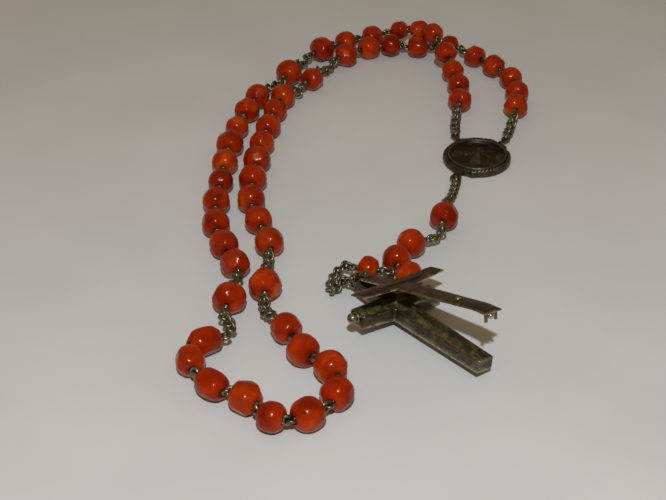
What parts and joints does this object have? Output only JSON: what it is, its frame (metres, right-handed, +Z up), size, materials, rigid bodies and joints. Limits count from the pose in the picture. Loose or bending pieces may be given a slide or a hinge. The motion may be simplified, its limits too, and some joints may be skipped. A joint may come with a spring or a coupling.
{
  "type": "rosary",
  "caption": "Coral bead rosary laid in a folded loop, with an oval centre medal, a short pendant and a hollow cross whose hinged lid stands ajar.",
  "frame": {"origin": "centre of the medal's flat back, which lies on the table", "axes": "+Z up from the table, +Y from the pendant towards the far side of the loop, +X to the medal's right"},
  "size_m": [0.0856, 0.1888, 0.016],
  "materials": {
    "coral": "polished orange-red coral, slightly uneven",
    "wire_silver": "aged silver wire with a yellowish patina",
    "medal_silver": "dark oxidised cast silver, worn bright on the edges",
    "cross_silver": "dark oxidised silver with brown and green patina"
  },
  "bodies": {
    "medal": {"medal": "medal_silver", "spacer_01": "wire_silver", "decade_1": "coral", "spacer_02": "wire_silver"},
    "pater_1": {"pater_1_pin": "wire_silver"},
    "pater_1_bead": {"pater_1_bead": "coral"},
    "decade_2": {"spacer_03": "wire_silver", "decade_2": "coral", "spacer_04": "wire_silver"},
    "pater_2": {"pater_2_pin": "wire_silver"},
    "pater_2_bead": {"pater_2_bead": "coral"},
    "decade_3": {"spacer_05": "wire_silver", "decade_3_wire": "wire_silver"},
    "decade_5": {"spacer_10": "wire_silver", "decade_5": "coral", "spacer_09": "wire_silver"},
    "pater_4": {"pater_4_pin": "wire_silver"},
    "pater_4_bead": {"pater_4_bead": "coral"},
    "decade_4": {"spacer_08": "wire_silver", "decade_4": "coral", "spacer_07": "wire_silver"},
    "pater_3": {"pater_3_pin": "wire_silver", "spacer_06": "wire_silver"},
    "pater_3_bead": {"pater_3_bead": "coral"},
    "pendant": {"spacer_11": "wire_silver"},
    "pater_5": {"pater_5_pin": "wire_silver", "spacer_12": "wire_silver"},
    "pater_5_bead": {"pater_5_bead": "coral"},
    "pendant_aves": {"pendant_wire": "wire_silver", "pater_6_pin": "wire_silver", "spacer_13": "wire_silver"},
    "pater_6_bead": {"pater_6_bead": "coral"},
    "cross": {"cross_tray": "cross_silver", "cross_bail": "cross_silver", "cross_hinge_pin": "wire_silver", "arm_finial": "wire_silver"},
    "lid": {"cross_lid": "cross_silver", "lid_rivet": "wire_silver", "lid_catch": "cross_silver"},
    "decade_3_bead_01": {"decade_3_bead_01": "coral"},
    "decade_3_bead_02": {"decade_3_bead_02": "coral"},
    "decade_3_bead_03": {"decade_3_bead_03": "coral"},
    "decade_3_bead_04": {"decade_3_bead_04": "coral"},
    "decade_3_bead_05": {"decade_3_bead_05": "coral"},
    "decade_3_bead_06": {"decade_3_bead_06": "coral"},
    "decade_3_bead_07": {"decade_3_bead_07": "coral"},
    "decade_3_bead_08": {"decade_3_bead_08": "coral"},
    "decade_3_bead_09": {"decade_3_bead_09": "coral"},
    "decade_3_bead_10": {"decade_3_bead_10": "coral"},
    "pendant_bead_01": {"pendant_bead_01": "coral"},
    "pendant_bead_02": {"pendant_bead_02": "coral"},
    "pendant_bead_03": {"pendant_bead_03": "coral"}
  },
  "joints": [
    {"name": "pater_1_lift", "type": "hinge", "parent": "medal", "child": "pater_1", "pos_m": [-0.0404, 0.04685, 0.00365], "axis": [-1, 0, 0], "range_deg": [0, 60]},
    {"name": "decade_2_lift", "type": "hinge", "parent": "pater_1", "child": "decade_2", "pos_m": [-0.04565, 0.03678, 0.00365], "axis": [-0.9397, 0.342, 0], "range_deg": [0, 60]},
    {"name": "pater_2_lift", "type": "hinge", "parent": "decade_2", "child": "pater_2", "pos_m": [-0.0513, -0.05795, 0.00365], "axis": [-1, 0, 0], "range_deg": [0, 60]},
    {"name": "decade_3_lift", "type": "hinge", "parent": "pater_2", "child": "decade_3", "pos_m": [-0.0511, -0.06875, 0.00365], "axis": [-1, 0, 0], "range_deg": [0, 60]},
    {"name": "decade_5_lift", "type": "hinge", "parent": "medal", "child": "decade_5", "pos_m": [-0.00455, 0.01205, 0.0014], "axis": [0.9945, -0.1045, 0], "range_deg": [0, 60]},
    {"name": "pater_4_lift", "type": "hinge", "parent": "decade_5", "child": "pater_4", "pos_m": [-0.0474, 0.05105, 0.00365], "axis": [-1, 0, 0], "range_deg": [0, 60]},
    {"name": "decade_4_lift", "type": "hinge", "parent": "pater_4", "child": "decade_4", "pos_m": [-0.0512, 0.04065, 0.00365], "axis": [-1, 0, 0], "range_deg": [0, 60]},
    {"name": "pater_3_lift", "type": "hinge", "parent": "decade_4", "child": "pater_3", "pos_m": [-0.058, -0.06325, 0.00365], "axis": [-1, 0, 0], "range_deg": [0, 60]},
    {"name": "pendant_lift", "type": "hinge", "parent": "medal", "child": "pendant", "pos_m": [-0.0064, -0.01275, 0.0014], "axis": [-1, 0, 0], "range_deg": [0, 60]},
    {"name": "pater_5_lift", "type": "hinge", "parent": "pendant", "child": "pater_5", "pos_m": [-0.0101, -0.02945, 0.00365], "axis": [-1, 0, 0], "range_deg": [0, 60]},
    {"name": "pendant_aves_lift", "type": "hinge", "parent": "pater_5", "child": "pendant_aves", "pos_m": [-0.01487, -0.04366, 0.0032], "axis": [-0.5736, 0.8192, 0], "range_deg": [0, 60]},
    {"name": "cross_lift", "type": "hinge", "parent": "pendant_aves", "child": "cross", "pos_m": [-0.03251, -0.06145, 0.003], "axis": [-0.7694, -0.6388, 0], "range_deg": [0, 60]},
    {"name": "lid_hinge", "type": "hinge", "parent": "cross", "child": "lid", "pos_m": [-0.03105, -0.06157, 0.00492], "axis": [-0.7609, -0.6318, 0.1478], "range_deg": [-14.8, 85]},
    {"name": "pater_1_spin", "type": "hinge", "parent": "pater_1", "child": "pater_1_bead", "pos_m": [-0.04272, 0.04221, 0.00365], "axis": [-0.5269, -0.8499, 0], "continuous": true},
    {"name": "pater_2_spin", "type": "hinge", "parent": "pater_2", "child": "pater_2_bead", "pos_m": [-0.0512, -0.0629, 0.00365], "axis": [0.0247, -0.9997, 0], "continuous": true},
    {"name": "pater_3_spin", "type": "hinge", "parent": "pater_3", "child": "pater_3_bead", "pos_m": [-0.0585, -0.06815, 0.00365], "axis": [-0.124, -0.9923, 0], "continuous": true},
    {"name": "pater_4_spin", "type": "hinge", "parent": "pater_4", "child": "pater_4_bead", "pos_m": [-0.0493, 0.0463, 0.00365], "axis": [-0.4425, -0.8967, 0], "continuous": true},
    {"name": "pater_5_spin", "type": "hinge", "parent": "pater_5", "child": "pater_5_bead", "pos_m": [-0.011, -0.0342, 0.00365], "axis": [-0.2276, -0.9737, 0], "continuous": true},
    {"name": "pater_6_spin", "type": "hinge", "parent": "pendant_aves", "child": "pater_6_bead", "pos_m": [-0.0291, -0.0558, 0.003], "axis": [-0.9744, 0.2248, 0], "continuous": true},
    {"name": "decade_3_bead_01_spin", "type": "hinge", "parent": "decade_3", "child": "decade_3_bead_01", "pos_m": [-0.0462, -0.0784, 0.00325], "axis": [0.473, -0.8811, 0], "continuous": true},
    {"name": "decade_3_bead_02_spin", "type": "hinge", "parent": "decade_3", "child": "decade_3_bead_02", "pos_m": [-0.0427, -0.0858, 0.00325], "axis": [0.5692, -0.8222, 0], "continuous": true},
    {"name": "decade_3_bead_03_spin", "type": "hinge", "parent": "decade_3", "child": "decade_3_bead_03", "pos_m": [-0.0372, -0.0914, 0.00325], "axis": [0.4393, -0.8983, 0], "continuous": true},
    {"name": "decade_3_bead_04_spin", "type": "hinge", "parent": "decade_3", "child": "decade_3_bead_04", "pos_m": [-0.036, -0.0995, 0.00325], "axis": [-0.2818, -0.9595, 0], "continuous": true},
    {"name": "decade_3_bead_05_spin", "type": "hinge", "parent": "decade_3", "child": "decade_3_bead_05", "pos_m": [-0.0414, -0.1057, 0.00325], "axis": [-0.8656, -0.5008, 0], "continuous": true},
    {"name": "decade_3_bead_06_spin", "type": "hinge", "parent": "decade_3", "child": "decade_3_bead_06", "pos_m": [-0.0481, -0.1065, 0.00325], "axis": [-0.9235, 0.3835, 0], "continuous": true},
    {"name": "decade_3_bead_07_spin", "type": "hinge", "parent": "decade_3", "child": "decade_3_bead_07", "pos_m": [-0.0532, -0.1008, 0.00325], "axis": [-0.7693, 0.6389, 0], "continuous": true},
    {"name": "decade_3_bead_08_spin", "type": "hinge", "parent": "decade_3", "child": "decade_3_bead_08", "pos_m": [-0.0599, -0.0967, 0.00325], "axis": [-0.701, 0.7132, 0], "continuous": true},
    {"name": "decade_3_bead_09_spin", "type": "hinge", "parent": "decade_3", "child": "decade_3_bead_09", "pos_m": [-0.0647, -0.0891, 0.00325], "axis": [-0.1758, 0.9844, 0], "continuous": true},
    {"name": "decade_3_bead_10_spin", "type": "hinge", "parent": "decade_3", "child": "decade_3_bead_10", "pos_m": [-0.0624, -0.0827, 0.00325], "axis": [0.866, 0.5, 0], "continuous": true},
    {"name": "pendant_bead_01_spin", "type": "hinge", "parent": "pendant_aves", "child": "pendant_bead_01", "pos_m": [-0.0192, -0.0456, 0.00325], "axis": [-0.6577, -0.7533, 0.0046], "continuous": true},
    {"name": "pendant_bead_02_spin", "type": "hinge", "parent": "pendant_aves", "child": "pendant_bead_02", "pos_m": [-0.0227, -0.0523, 0.00325], "axis": [-0.0812, -0.9967, 0.0074], "continuous": true},
    {"name": "pendant_bead_03_spin", "type": "hinge", "parent": "pendant_aves", "child": "pendant_bead_03", "pos_m": [-0.0203, -0.0591, 0.00335], "axis": [0.0615, -0.9921, -0.1097], "continuous": true}
  ]
}
